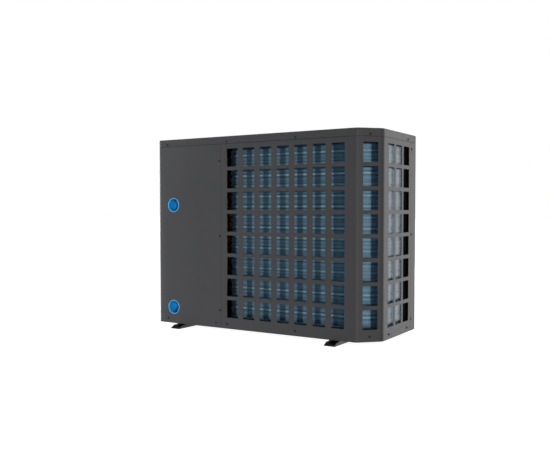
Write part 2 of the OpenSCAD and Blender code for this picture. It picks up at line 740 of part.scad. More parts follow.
module compressor_studs() {
  color("#9fa2a6") for (a = [90, 210, 330])
    translate([comp[0] + 78 * cos(a), comp[1] + 78 * sin(a), 0]) union() {
      translate([0, 0, floor_t]) cylinder(r = 4, h = 40, $fn = 24);
      translate([0, 0, 43.1]) cylinder(r = 10, h = 1.6, $fn = 24);
      translate([0, 0, 44.5]) cylinder(r = 7.5, h = 6.5, $fn = 6);
    }
}
module terminal_cover() {
  color("#17181a") translate([comp[0] + 28, comp[1], 331.1]) difference() {
    linear_extrude(height = 26) polygon(rr(34, 44, 8, 4));
    translate([0, 0, -1]) linear_extrude(height = 24) polygon(rr(30, 40, 6, 4));
    translate([-30, -6, -1]) cube([20, 12, 12]);
  }
}
module discharge_pipe() {
  color("#b5713f") pipe([[comp[0], comp[1], 337.1], [comp[0], comp[1], 500],
    [comp[0], 0, 500], [comp[0], 0, 460.1]], 6.35, [20, 20]);
}
module suction_pipe() {
  color("#b5713f") pipe([[comp[0], 0, 395.9], [comp[0], 0, 330],
    [acc[0], 0, 330], [acc[0], acc[1], 330], [acc[0], acc[1], 298.1]],
    7.5, [22, 22, 22]);
}
module four_way_valve() {
  color("#c2a14d") {
    translate([comp[0] - 48, 0, 430]) rotate([0, 90, 0]) cylinder(r = 14, h = 96);
    for (s = [-1, 1]) translate([comp[0] + s * 48 - (s > 0 ? 2 : 6), 0, 430])
      rotate([0, 90, 0]) cylinder(r = 10, h = 8);
    translate([comp[0], 0, 425]) cylinder(r = 8, h = 35);
    for (x = [-28, 0, 28]) translate([comp[0] + x, 0, 396])
      cylinder(r = 9, h = 30);
    // pilot valve on its saddle
    translate([comp[0] - 22, -34, 430]) rotate([0, 90, 0]) cylinder(r = 6, h = 44);
    translate([comp[0] - 5, -30, 427]) cube([10, 22, 6]);
  }
}
module valve_solenoid() {
  color("#1a3550") translate([comp[0] + 22.2, -34, 430]) difference() {
    union() {
      rotate([0, 90, 0]) cylinder(r = 17, h = 22);
      translate([0, -17, -17]) cube([22, 34, 12]);
    }
    translate([-1, 0, 0]) rotate([0, 90, 0]) cylinder(r = 5, h = 15);
  }
}
module coil_gas_pipe() {
  color("#b5713f") pipe([[comp[0] - 28, 0, 395.9], [comp[0] - 28, 0, 365],
    [comp[0] - 28, row_y[1], 365], [comp[0] - 28, row_y[1], 140],
    [205, row_y[1], 140], [205, row_y[1], 177.9]], 7, [18, 18, 12, 12]);
}
module exchanger_gas_pipe() {
  color("#b5713f") pipe([[comp[0] + 28, 0, 395.9], [comp[0] + 28, 0, 365],
    [comp[0] + 28, ex_y, 365], [comp[0] + 28, ex_y, 586], [port_x, ex_y, 586],
    [port_x, ex_y, 566.1]], 6.35, [18, 18, 18, 15]);
}
module liquid_pipe() {
  color("#b5713f") {
    pipe([[liq_x, ex_y, 566.1], [liq_x, ex_y, 586],
      [liq_x, -20, 586], [liq_x, -20, 460.1]], 4.8, [15, 18]);
    pipe([[liq_x, -20, 369.9], [liq_x, -20, 346.1]], 4.8, []);
    pipe([[liq_x, -20, 279.9], [liq_x, -20, 232],
      [300, -20, 232], [300, row_y[0], 232], [233.6, row_y[0], 232]],
      4.8, [16, 16, 16]);
  }
}
module filter_drier() {
  color("#b5713f") translate([liq_x, -20, 0]) rotate_extrude()
    polygon([[0, 370], [6.5, 370], [6.5, 380], [14, 389], [16, 393], [16, 437],
      [14, 441], [6.5, 450], [6.5, 460], [0, 460]]);
}
module expansion_valve() {
  color("#c2a14d") translate([liq_x, -20, 0]) {
    rotate_extrude() polygon([[0, 280], [6.5, 280], [6.5, 292], [12, 292],
      [12, 320], [9, 324], [6.5, 330], [6.5, 346], [0, 346]]);
    translate([0, 0, 305]) rotate([0, 90, 180]) cylinder(r = 8, h = 26);
  }
}
module expansion_valve_coil() {
  color("#17181a") translate([liq_x - 26.2, -20, 305]) rotate([0, 90, 180])
    rotate_extrude() polygon([[0, 0], [9, 0], [9, 2], [17, 2], [18, 4],
      [18, 22], [16, 25], [9, 25], [9, 29], [0, 29]]);
}
module exchanger_shell() {
  color("#d8dadb") difference() {
    union() {
      translate([port_x, ex_y, 44]) cylinder(r = shell_r, h = 494, $fn = 72);
      for (z = [outlet_z, inlet_z]) translate([port_x, ex_y, z])
        rotate([-90, 0, 0]) cylinder(r = 27, h = D / 2 + port_out - port_depth - 6.5 - ex_y);
    }
    translate([port_x, ex_y, 40]) cylinder(r = shell_r - 5, h = 502, $fn = 72);
    for (z = [outlet_z, inlet_z]) translate([port_x, ex_y + 30, z])
      rotate([-90, 0, 0]) cylinder(r = 20.5, h = 100);
  }
}
module exchanger_top_cap() {
  color("#3c4044") difference() {
    translate([port_x, ex_y, 0]) rotate_extrude($fn = 72)
      polygon([[0, 546], [48, 546], [shell_r - 5.2, 538], [shell_r - 5.2, 524],
        [shell_r - 9, 524], [shell_r - 9, 536], [46, 541], [0, 541]]
        );
    for (s = [0, 36]) translate([port_x + s, ex_y, 530])
      cylinder(r = 7.2, h = 40, $fn = 24);
  }
}
module exchanger_bottom_cap() {
  color("#3c4044") translate([port_x, ex_y, 0]) rotate_extrude($fn = 72)
    polygon([[0, floor_t], [52, floor_t], [52, 26], [shell_r, 36],
      [shell_r, 43.8], [shell_r - 5.2, 43.8], [shell_r - 5.2, 54],
      [shell_r - 9, 54], [shell_r - 9, 40], [50, 32], [0, 32]]);
}
// helix of the titanium tube with its two rising ends
hx_n = 18;
hx_turn = 13;
hx_s = 6;
function hx_c(i) = let (a = 360 * i / hx_n, m = hx_n * hx_turn)
  [36 * cos(a), 36 * sin(a), 118 + 336 * i / m];
module titanium_coil() {
  m = hx_n * hx_turn;
  color("#8f8a84") translate([port_x, ex_y, 0]) {
    polyhedron(
      points = [for (i = [0:m]) for (k = [0:hx_s - 1])
        let (a = 360 * i / hx_n, b = 360 * k / hx_s)
        hx_c(i) + [cos(a) * 6 * cos(b), sin(a) * 6 * cos(b), 6 * sin(b)]],
      faces = concat(
        [for (i = [0:m - 1]) for (k = [0:hx_s - 1]) for (q = [0, 1])
          let (p = i * hx_s, n = (k + 1) % hx_s)
          q == 0 ? [p + k, p + n, p + hx_s + n]
                 : [p + k, p + hx_s + n, p + hx_s + k]],
        [[for (k = [hx_s - 1:-1:0]) k],
         [for (k = [0:hx_s - 1]) m * hx_s + k]]));
    // riser in the middle, crossing tube at the foot, upper end
    translate([0, 0, 111]) cylinder(r = 6.35, h = 455, $fn = 24);
    translate([0, 0, 118]) rotate([0, 90, 0])
      cylinder(r = 5.5, h = 37, $fn = 24);
    translate([36, 0, 452]) cylinder(r = 6.35, h = 114, $fn = 24);
  }
}
module water_socket(z) {
  ym = D / 2 + port_out;
  color("#2f79b4") translate([port_x, ym, z]) lathe_y()
    polygon([[20.5, -port_depth - 6], [20.5, -port_depth], [port_bore, -port_depth],
      [port_bore, -1.2], [port_bore + 1.2, 0], [port_r - 1, 0], [port_r, -1],
      [port_r, -port_out - t - 2], [33.5, -port_out - t - 2],
      [33.5, -port_depth - 16], [27.1, -port_depth - 16], [27.1, -port_depth - 6]]);
}
module water_outlet_socket() { water_socket(outlet_z); }
module water_inlet_socket() { water_socket(inlet_z); }

// ---- electrics ------------------------------------------------------------
module control_box() {
  color("#b9bdc0") difference() {
    translate([156, -176, 604]) cube([306, 226, 136]);
    translate([157.2, -174.8, 605.2]) cube([303.6, 223.6, 140]);
    translate([150, -60, 630]) cube([10, 70, 60]);
    translate([420, -160, 600]) cylinder(r = 12, h = 10, $fn = 24);
  }
}
module control_box_lid() {
  color("#b9bdc0") difference() {
    translate([154.6, -177.4, 728]) cube([308.8, 228.8, 13.4]);
    translate([155.8, -176.2, 727]) cube([306.4, 226.4, 13.2]);
    translate([150, -178, 727]) cube([5.9, 240, 13.2]);
  }
}
module circuit_board() {
  color("#1f5b3a") {
    translate([190, -150, 619]) cube([200, 190, 1.6]);
    for (x = [198, 382]) for (y = [-142, 32]) translate([x, y, 605.2])
      cylinder(r = 3.5, h = 14, $fn = 24);
    for (x = [215, 252, 289]) translate([x, 5, 620.5]) cylinder(r = 16, h = 48);
    translate([205, -120, 620.5]) cube([46, 40, 34]);
    for (i = [0:3]) translate([270 + 26 * i, -140, 620.5]) cube([20, 28, 18]);
    translate([275, -90, 620.5]) cube([60, 50, 5]);
    translate([350, -85, 620.5]) cylinder(r = 22, h = 24);
  }
}
module heat_sink() {
  color("#c4c7ca") {
    translate([144, -100, 610]) cube([5.8, 150, 100]);
    translate([149, -58, 632]) cube([14, 66, 56]);
    for (i = [0:12]) translate([112, -100 + 12.33 * i, 610]) cube([32.5, 2, 100]);
  }
}
module terminal_block() {
  color("#17181a") translate([402, -150, 605.3]) difference() {
    cube([52, 120, 30]);
    for (i = [0:4]) translate([6, 6 + 22.5 * i, 12]) cube([40, 18, 30]);
  }
}
module display_bezel() {
  color("#17181a") translate([disp_x, -D / 2 - 0.2, disp_z])
    rotate([90, 0, 0]) difference() {
      union() {
        linear_extrude(height = 6) polygon(rr(disp_w, disp_h, 12, 4));
        linear_extrude(height = 9) polygon(rr(disp_w - 5, disp_h - 5, 10, 4));
      }
      translate([0, 0, 6.4]) linear_extrude(height = 4)
        polygon(rr(disp_w - 20, disp_h - 20, 6, 4));
    }
}
module display_glass() {
  color("#0a0b0d") translate([disp_x, -D / 2 - 6.8, disp_z])
    rotate([90, 0, 0]) {
      linear_extrude(height = 1.6) polygon(rr(disp_w - 20.6, disp_h - 20.6, 5.8, 4));
      translate([0, 0, 1.4]) linear_extrude(height = 0.5)
        polygon(rr(disp_w - 34, disp_h - 34, 3, 4));
    }
}
module cable_gland() {
  color("#202224") translate([430, -D / 2 - 0.2, 110]) rotate([90, 0, 0])
    difference() {
      union() {
        cylinder(r = 15, h = 6, $fn = 6);
        translate([0, 0, -14]) cylinder(r = 9.9, h = 30);
      }
      translate([0, 0, -20]) cylinder(r = 6.6, h = 60);
    }
}
module gland_nut() {
  color("#202224") translate([430, -D / 2 - 6.5, 110]) rotate([90, 0, 0])
    difference() {
      union() {
        cylinder(r = 14.5, h = 9, $fn = 6);
        translate([0, 0, 8.9]) rotate_extrude()
          polygon([[0, 0], [12.4, 0], [12, 4], [10, 7], [0, 7]]);
      }
      translate([0, 0, -1]) cylinder(r = 10.1, h = 11.5);
      translate([0, 0, -1]) cylinder(r = 6.6, h = 30);
    }
}
module carry_handle() {
  color("#17181a") translate([xp - t - 0.2, -40, 537]) rotate([90, 0, -90]) {
    difference() {
      union() {
        linear_extrude(height = 2) polygon(rr(132, 66, 16, 4));
        linear_extrude(height = 26) polygon(rr(114, 48, 14, 4));
      }
      translate([0, 0, -1]) linear_extrude(height = 25)
        polygon(rr(109, 43, 11.5, 4));
    }
  }
}
module drain_nipple() {
  color("#202224") translate([-245, 40, 0]) rotate_extrude()
    polygon([[8, 2], [9.4, 2], [10.4, 6], [9.6, 6], [10.4, 10], [9.6, 10],
      [12, 11], [16, 11], [16, floor_z - 0.2], [12, floor_z - 0.2],
      [12, floor_t + 0.2], [16, floor_t + 0.2], [16, floor_t + 3], [8, floor_t + 3]]);
}

// ---- fasteners ------------------------------------------------------------
module cover_screws() {
  color("#141516") for (p = cover_pts) at(p) screw();
}
module base_screws() {
  color("#141516") for (p = base_pts) at(p) screw();
}
module panel_screws() {
  color("#141516") {
    for (p = seam_pts) at(p) screw();
    for (p = guard_pts) at(p) screw(14);
  }
}

base_pan();
foot_rail_compressor_end();
foot_rail_coil_end();
top_cover();
service_panel();
grille_panel();
front_panel();
bell_mouth();
fan_guard();
fan_rotor();
motor_shaft();
fan_nut();
motor_housing();
motor_stator();
motor_bearings();
motor_bracket();
motor_screws();
fin_pack();
coil_tubes();
return_bends();
coil_end_plate_rear();
coil_end_plate_side();
gas_header();
liquid_header();
partition();
compressor();
accumulator();
compressor_grommets();
compressor_studs();
terminal_cover();
discharge_pipe();
suction_pipe();
four_way_valve();
valve_solenoid();
coil_gas_pipe();
exchanger_gas_pipe();
liquid_pipe();
filter_drier();
expansion_valve();
expansion_valve_coil();
exchanger_shell();
exchanger_top_cap();
exchanger_bottom_cap();
titanium_coil();
water_outlet_socket();
water_inlet_socket();
control_box();
control_box_lid();
circuit_board();
heat_sink();
terminal_block();
display_bezel();
display_glass();
cable_gland();
gland_nut();
carry_handle();
drain_nipple();
cover_screws();
base_screws();
panel_screws();
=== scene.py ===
import json
import math
import random

import bmesh
import bpy
from mathutils import Matrix, Vector


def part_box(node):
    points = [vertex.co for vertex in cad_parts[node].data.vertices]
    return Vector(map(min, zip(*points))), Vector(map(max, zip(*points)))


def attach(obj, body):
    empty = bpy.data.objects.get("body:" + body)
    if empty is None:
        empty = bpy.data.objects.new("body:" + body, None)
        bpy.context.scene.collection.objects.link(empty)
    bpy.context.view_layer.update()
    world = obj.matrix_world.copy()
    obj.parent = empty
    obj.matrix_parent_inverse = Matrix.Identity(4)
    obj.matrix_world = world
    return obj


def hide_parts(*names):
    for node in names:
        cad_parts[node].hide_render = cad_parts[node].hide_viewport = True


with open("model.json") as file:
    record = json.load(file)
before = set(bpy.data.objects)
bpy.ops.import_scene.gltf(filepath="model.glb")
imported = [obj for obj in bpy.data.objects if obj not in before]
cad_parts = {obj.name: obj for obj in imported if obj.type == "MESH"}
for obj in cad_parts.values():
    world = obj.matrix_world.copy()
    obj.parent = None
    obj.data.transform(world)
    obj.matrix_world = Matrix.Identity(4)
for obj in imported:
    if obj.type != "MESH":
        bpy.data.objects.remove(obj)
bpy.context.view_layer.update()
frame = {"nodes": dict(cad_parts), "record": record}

NODES = frame["nodes"]
RECORD = frame["record"]
scene = bpy.context.scene
random.seed(11)
MM = 0.001
# coil tubes: height of the lowest, pitch, tubes in a row, distance behind the coil face
TUBE_Z0, TUBE_P, TUBE_N, TUBE_IN = 0.0523, 0.03937, 17, 0.0065
COLLAR_R = 0.0070
# seams of the casing: under the lid, and between the end faces and the front panel
SEAM_Z, SEAM_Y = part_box("top_cover")[0].z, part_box("front_panel")[1].y + 0.0004


# ---------------------------------------------------------------- materials
class Mat:
    """A node material with short helpers."""

    def __init__(self, name):
        self.m = bpy.data.materials.new(name)
        self.m.use_nodes = True
        self.t = self.m.node_tree
        self.b = self.t.nodes["Principled BSDF"]
        tc = self.t.nodes.new("ShaderNodeTexCoord")
        self.co = tc.outputs["Object"]

    def set(self, **kw):
        names = {"metal": "Metallic", "rough": "Roughness", "ior": "IOR",
                 "spec": "Specular IOR Level", "coat": "Coat Weight",
                 "coat_rough": "Coat Roughness", "trans": "Transmission Weight",
                 "aniso": "Anisotropic", "sheen": "Sheen Weight",
                 "emit": "Emission Strength"}
        for k, v in kw.items():
            self.b.inputs[names[k]].default_value = v
        return self

    def node(self, kind, **kw):
        n = self.t.nodes.new(kind)
        for k, v in kw.items():
            setattr(n, k, v)
        return n

    def link(self, a, b):
        self.t.links.new(a, b)

    def mapped(self, scale=(1, 1, 1), rot=(0, 0, 0), loc=(0, 0, 0)):
        n = self.node("ShaderNodeMapping")
        n.inputs["Scale"].default_value = scale
        n.inputs["Rotation"].default_value = rot
        n.inputs["Location"].default_value = loc
        self.link(self.co, n.inputs["Vector"])
        return n.outputs["Vector"]

    def noise(self, scale, detail=3.0, rough=0.5, vec=None, dist=0.0):
        n = self.node("ShaderNodeTexNoise")
        n.inputs["Scale"].default_value = scale
        n.inputs["Detail"].default_value = detail
        n.inputs["Roughness"].default_value = rough
        n.inputs["Distortion"].default_value = dist
        self.link(vec if vec is not None else self.co, n.inputs["Vector"])
        return n.outputs["Fac"]

    def voronoi(self, scale, feature="F1", out="Distance", vec=None):
        n = self.node("ShaderNodeTexVoronoi", feature=feature)
        n.inputs["Scale"].default_value = scale
        self.link(vec if vec is not None else self.co, n.inputs["Vector"])
        return n.outputs[out]

    def wave(self, scale, axis="Z", profile="SIN", dist=0.0, dscale=1.0, phase=0.0,
             vec=None):
        n = self.node("ShaderNodeTexWave", wave_type="BANDS", bands_direction=axis,
                      wave_profile=profile)
        n.inputs["Scale"].default_value = scale
        n.inputs["Distortion"].default_value = dist
        n.inputs["Detail"].default_value = 2.0
        n.inputs["Detail Scale"].default_value = dscale
        n.inputs["Phase Offset"].default_value = phase
        self.link(vec if vec is not None else self.co, n.inputs["Vector"])
        return n.outputs["Fac"]

    def ramp(self, fac, stops, interp="LINEAR"):
        n = self.node("ShaderNodeValToRGB")
        n.color_ramp.interpolation = interp
        el = n.color_ramp.elements
        while len(el) < len(stops):
            el.new(0.5)
        for e, (p, c) in zip(el, stops):
            e.position = p
            e.color = (*c, 1) if len(c) == 3 else c
        self.link(fac, n.inputs["Fac"])
        return n.outputs["Color"]

    def mix(self, fac, a, b, kind="MIX"):
        n = self.node("ShaderNodeMix", data_type="RGBA", blend_type=kind)
        for val, sock in ((fac, n.inputs[0]), (a, n.inputs[6]), (b, n.inputs[7])):
            if isinstance(val, (int, float)):
                sock.default_value = val
            elif isinstance(val, tuple):
                sock.default_value = (*val, 1)
            else:
                self.link(val, sock)
        return n.outputs[2]

    def math(self, op, a, b=0.0, c=0.0):
        n = self.node("ShaderNodeMath", operation=op)
        for val, sock in zip((a, b, c), n.inputs):
            if isinstance(val, (int, float)):
                sock.default_value = val
            else:
                self.link(val, sock)
        return n.outputs[0]

    def span(self, fac, lo, hi, a=0.0, b=1.0):
        n = self.node("ShaderNodeMapRange")
        n.inputs["From Min"].default_value = a
        n.inputs["From Max"].default_value = b
        n.inputs["To Min"].default_value = lo
        n.inputs["To Max"].default_value = hi
        self.link(fac, n.inputs["Value"])
        return n.outputs["Result"]

    def axis(self, i):
        n = self.node("ShaderNodeSeparateXYZ")
        self.link(self.co, n.inputs[0])
        return n.outputs[i]

    def colour(self, out):
        self.link(out, self.b.inputs["Base Color"])
        return self

    def roughness(self, out):
        self.link(out, self.b.inputs["Roughness"])
        return self

    def bump(self, height, strength=0.3, dist=0.0002):
        n = self.node("ShaderNodeBump")
        n.inputs["Strength"].default_value = strength
        n.inputs["Distance"].default_value = dist
        self.link(height, n.inputs["Height"])
        self.link(n.outputs["Normal"], self.b.inputs["Normal"])
        return self


def tint(c, k):
    return tuple(max(0.0, v * k) for v in c)


def powder_coat(name, c, rough, spread=0.06, spec=0.5, seams=False):
    """Fine-textured powder coat: orange peel, tiny grains, a little dust; with seams, painted shade along the
    casing seams.
    """
    m = Mat(name).set(spec=spec)
    broad = m.noise(5.0, 4, 0.6)
    grain = m.noise(900.0, 2, 0.6)
    peel = m.noise(380.0, 2, 0.5)
    base = m.ramp(broad, [(0.3, tint(c, 1 - spread)), (0.7, tint(c, 1 + spread))])
    fleck = m.ramp(grain, [(0.35, (0.86, 0.86, 0.87)), (0.68, (1.1, 1.1, 1.11))])
    if seams:
        # painted shade: a darker, duller line on both sides of the lid seam and of the end seams, where the seam
        # gap's shadow falls
        lid = m.math("ABSOLUTE", m.math("SUBTRACT", m.axis(2), SEAM_Z))
        end = m.math("ABSOLUTE", m.math("SUBTRACT", m.axis(1), SEAM_Y))
        on_lid = m.math("GREATER_THAN", m.axis(2), SEAM_Z)
        seam_shading = m.math("MINIMUM", m.span(lid, 0.62, 1.0, 0.0005, 0.0014),
                       m.math("MAXIMUM", m.span(end, 0.4, 1.0, 0.0006, 0.0022), on_lid))
        base = m.mix(1.0, base, m.ramp(seam_shading, [(0.0, (0, 0, 0)), (1.0, (1, 1, 1))]), "MULTIPLY")
        # faces that look up are dulled by dust
        facing = m.node("ShaderNodeSeparateXYZ")
        m.link(m.node("ShaderNodeTexCoord").outputs["Normal"], facing.inputs[0])
        dust = m.span(facing.outputs[2], 0.0, 1.0, 0.3, 0.9)
        # the painted seam shade also takes the gloss out along the seams
        gloss = m.math("MULTIPLY", seam_shading, m.span(dust, spec, spec * 0.3))
        m.link(gloss, m.b.inputs["Specular IOR Level"])
    m.colour(m.mix(1.0, base, fleck, "MULTIPLY"))
    sheen = m.span(m.noise(60.0, 3), rough - 0.035, rough + 0.045)
    m.roughness(m.math("ADD", sheen, m.math("MULTIPLY", dust, 0.25)) if seams else sheen)
    both = m.math("ADD", m.math("MULTIPLY", peel, 0.7), m.math("MULTIPLY", grain, 0.3))
    return m.bump(both, 0.22, 0.00018).m


def moulded(name, c, rough, flow=0.0):
    """Moulded plastic: fine spark texture and slight flow shading."""
    m = Mat(name).set(spec=0.45)
    spark = m.noise(1300.0, 1, 0.5)
    flowm = m.noise(14.0, 3, 0.6, dist=1.2)
    base = m.ramp(flowm, [(0.3, tint(c, 0.88)), (0.7, tint(c, 1.12))])
    m.colour(m.mix(0.5, base, m.ramp(spark, [(0.3, tint(c, 0.8)), (0.7, tint(c, 1.2))])))
    m.roughness(m.span(flowm, rough - 0.05, rough + 0.06))
    return m.bump(spark, 0.16 + flow, 0.00012).m


def metal(name, c, rough, streak=None, dark=0.75):
    m = Mat(name).set(metal=1.0)
    scale = streak or (1, 1, 1)
    brush = m.noise(260.0, 3, 0.6, vec=m.mapped(scale))
    cloud = m.noise(18.0, 4, 0.6)
    base = m.ramp(cloud, [(0.25, tint(c, dark)), (0.7, c)])
    m.colour(m.mix(0.35, base, m.ramp(brush, [(0.3, tint(c, 0.8)), (0.7, tint(c, 1.08))])))
    m.roughness(m.span(brush, rough - 0.08, rough + 0.1))
    return m.bump(brush, 0.08, 0.0001).m


def galvanised(name):
    m = Mat(name).set(metal=0.85)
    cells = m.voronoi(75.0, out="Color")
    bw = m.node("ShaderNodeRGBToBW")
    m.link(cells, bw.inputs[0])
    fine = m.noise(240.0, 3)
    m.colour(m.mix(0.25, m.ramp(bw.outputs[0], [(0.1, (0.30, 0.32, 0.34)), (0.9, (0.55, 0.57, 0.59))]),
                   m.ramp(fine, [(0.3, (0.28, 0.29, 0.31)), (0.7, (0.6, 0.61, 0.63))])))
    m.roughness(m.span(bw.outputs[0], 0.34, 0.52))
    return m.bump(fine, 0.05, 0.0001).m


def copper(name):
    m = Mat(name).set(metal=1.0)
    tarnish = m.noise(22.0, 5, 0.62, dist=0.6)
    draw = m.noise(420.0, 2)
    m.colour(m.mix(0.25, m.ramp(tarnish, [(0.28, (0.20, 0.085, 0.045)), (0.5, (0.52, 0.235, 0.125)),
                                          (0.72, (0.64, 0.31, 0.17))]),
                   m.ramp(draw, [(0.3, (0.4, 0.18, 0.1)), (0.7, (0.66, 0.34, 0.2))])))
    m.roughness(m.span(tarnish, 0.5, 0.26))
    return m.bump(draw, 0.06, 0.0001).m


def fin_material(name, c_hi, c_lo, rough, bead_shading=True):
    """Blue-coated aluminium: cloudy coating, rolled ripples across each fin, bumped and also painted as bands of
    light and shade, and optionally a painted ridge of light and shade along each tube row.
    """
    m = Mat(name).set(spec=0.9)
    # the metal under the coating mirrors blue when seen square on
    # (less so on the end leg, where the coating has weathered dull)
    old = m.span(m.axis(1), 1.0, 0.0, 0.02, 0.07)
    m.link(m.mix(old, (0.32, 0.78, 1.0), (0.80, 0.90, 0.95)), m.b.inputs["Specular Tint"])
    cloud = m.noise(9.0, 4, 0.6)
    rolled = m.wave(19.0, "Z", dist=0.6, dscale=3.0)
    fine = m.noise(120.0, 2, vec=m.mapped((0.25, 0.25, 2.0)))
    base = m.ramp(cloud, [(0.25, c_lo), (0.75, c_hi)])
    # painted light and shade: the rolled ripples are lighter and darker bands in the colour, on top of their
    # bump
    rolled_shading = m.ramp(rolled, [(0.0, (0.78, 0.8, 0.82)), (0.55, (1.0, 1.0, 1.0)), (1.0, (1.12, 1.1, 1.08))])
    both = m.mix(1.0, base, rolled_shading, "MULTIPLY")
    both = m.mix(0.5, both, m.ramp(fine, [(0.3, (0.72, 0.74, 0.78)), (0.7, (1.2, 1.18, 1.16))]), "MULTIPLY")
    if bead_shading:
        # painted highlight and shade along each tube row, as of a pressed ridge: a bright crest with a dark line
        # on both sides
        turn = m.math("FRACT", m.math("DIVIDE", m.math("SUBTRACT", m.axis(2), TUBE_Z0 - TUBE_P / 2), TUBE_P))
        off = m.math("ABSOLUTE", m.math("SUBTRACT", turn, 0.5))
        rows = m.ramp(off, [(0.0, (1.12, 1.12, 1.12)), (0.09, (1.1, 1.1, 1.1)), (0.145, (0.55, 0.55, 0.57)),
                            (0.19, (0.55, 0.55, 0.57)), (0.24, (1.0, 1.0, 1.0))])
        both = m.mix(1.0, both, rows, "MULTIPLY")
    m.colour(both)
    m.roughness(m.math("ADD", m.span(cloud, rough - 0.06, rough + 0.08), m.math("MULTIPLY", old, 0.12)))
    return m.bump(m.math("ADD", rolled, fine), 0.1, 0.0002).m


def board(name):
    m = Mat(name).set(spec=0.5)
    v = m.mapped((160, 160, 160))
    br = m.node("ShaderNodeTexBrick")
    br.inputs["Scale"].default_value = 1.0
    br.inputs["Color1"].default_value = (0.012, 0.10, 0.045, 1)
    br.inputs["Color2"].default_value = (0.016, 0.13, 0.06, 1)
    br.inputs["Mortar"].default_value = (0.03, 0.2, 0.09, 1)
    br.inputs["Mortar Size"].default_value = 0.03
    m.link(v, br.inputs["Vector"])
    m.colour(br.outputs["Color"])
    m.roughness(m.span(br.outputs["Fac"], 0.3, 0.5))
    return m.bump(br.outputs["Fac"], 0.2, 0.0001).m


def glass_panel(name):
    """Dark display window: gloss black with the faintest smear pattern."""
    m = Mat(name).set(spec=0.6, coat=1.0, coat_rough=0.03)
    smear = m.noise(26.0, 5, 0.65, dist=1.5)
    m.colour(m.ramp(smear, [(0.3, (0.0025, 0.003, 0.004)), (0.75, (0.006, 0.007, 0.009))]))
    m.roughness(m.span(smear, 0.06, 0.15))
    return m.m


def glow(name, c, strength):
    m = Mat(name).set(emit=strength, rough=0.5)
    dots = m.voronoi(900.0)
    col = m.ramp(dots, [(0.0, c), (0.9, tint(c, 0.8))])
    m.colour(col)
    m.link(col, m.b.inputs["Emission Color"])
    return m.m


def blue_socket(name):
    m = Mat(name).set(spec=0.45)
    flow = m.noise(30.0, 3, 0.6, dist=1.0)
    spark = m.noise(1200.0, 1)
    rim_lit_copy = m.mix(0.3, m.ramp(flow, [(0.3, (0.050, 0.265, 0.53)), (0.7, (0.062, 0.300, 0.58))]),
                m.ramp(spark, [(0.3, (0.046, 0.24, 0.48)), (0.7, (0.070, 0.32, 0.62))]))
    bore_shaded_copy = m.ramp(flow, [(0.3, (0.004, 0.135, 0.38)), (0.7, (0.006, 0.165, 0.44))])
    # painted light and shade: the mouth is a pale lit copy of the blue, and everything deeper than it is a
    # darker shaded copy
    m.colour(m.mix(m.span(m.axis(1), 0.0, 1.0, 0.1880, 0.1892), bore_shaded_copy, rim_lit_copy))
    m.roughness(m.span(flow, 0.34, 0.46))
    return m.bump(spark, 0.1, 0.0001).m


M = {
    "case_paint": powder_coat("case_powder_coat", (0.0262, 0.0297, 0.0345), 0.40, spec=0.4, seams=True),
    "foot_paint": powder_coat("foot_powder_coat", (0.016, 0.0165, 0.0175), 0.42),
    "screw_black": metal("blackened_screw", (0.06, 0.06, 0.065), 0.42),
    "fin_blue": fin_material("fin_coating", (0.068, 0.131, 0.202), (0.056, 0.117, 0.186), 0.17),
    "copper": copper("drawn_copper"),
    "brass": metal("turned_brass", (0.62, 0.44, 0.17), 0.3),
    "galvanised": galvanised("galvanised_sheet"),
    "steel": metal("machined_steel", (0.5, 0.51, 0.53), 0.28),
    "aluminium": metal("extruded_aluminium", (0.66, 0.67, 0.68), 0.33, (0.1, 1, 1)),
    "motor_grey": powder_coat("motor_enamel", (0.10, 0.108, 0.116), 0.36),
    "black_enamel": powder_coat("black_enamel", (0.008, 0.008, 0.009), 0.45),
    "black_plastic": moulded("black_plastic", (0.011, 0.0115, 0.0125), 0.42),
    "fan_plastic": moulded("fan_plastic", (0.020, 0.021, 0.023), 0.4, 0.05),
    "blue_plastic": blue_socket("blue_socket_plastic"),
    "pvc_grey": moulded("pvc_grey", (0.58, 0.6, 0.61), 0.35),
    "dark_pvc": moulded("dark_pvc", (0.045, 0.05, 0.055), 0.38),
    "titanium": metal("titanium_tube", (0.32, 0.30, 0.28), 0.35),
    "rubber": moulded("rubber", (0.009, 0.009, 0.009), 0.7, 0.1),
    "board_green": board("circuit_board"),
    "display_black": glass_panel("display_window"),
    "coil_dark_blue": moulded("coil_dark_blue", (0.012, 0.035, 0.075), 0.4),
}
PLUG = moulded("blue_plug_plastic", (0.006, 0.170, 0.440), 0.4)
# painted light: a lighter copy of the fin coating, so that the collars read brighter than the fins beside them
COLLAR_PAINTED_LIGHT = fin_material("fin_collar_painted_light", (0.112, 0.186, 0.244), (0.094, 0.168, 0.224), 0.36, bead_shading=False)
# painted shade: a near-black, almost unreflecting matt for pieces that stand in for shade
SHADE_BLACK = moulded("painted_shade_black", (0.0028, 0.003, 0.0032), 0.95)
SHADE_BLACK.node_tree.nodes["Principled BSDF"].inputs["Specular IOR Level"].default_value = 0.05
SLOT_OF = {}
for entry in RECORD["subparts"]:
    SLOT_OF[entry["node"]] = entry["material_slot"]
for name, o in NODES.items():
    mat = M[SLOT_OF[name]]
    # painted shade: the coil's side end plate is made near-black so that the end windows beyond the coil read
    # dark
    if name == "coil_end_plate_side":
        mat = SHADE_BLACK
    o.data.materials.clear()
    o.data.materials.append(mat)


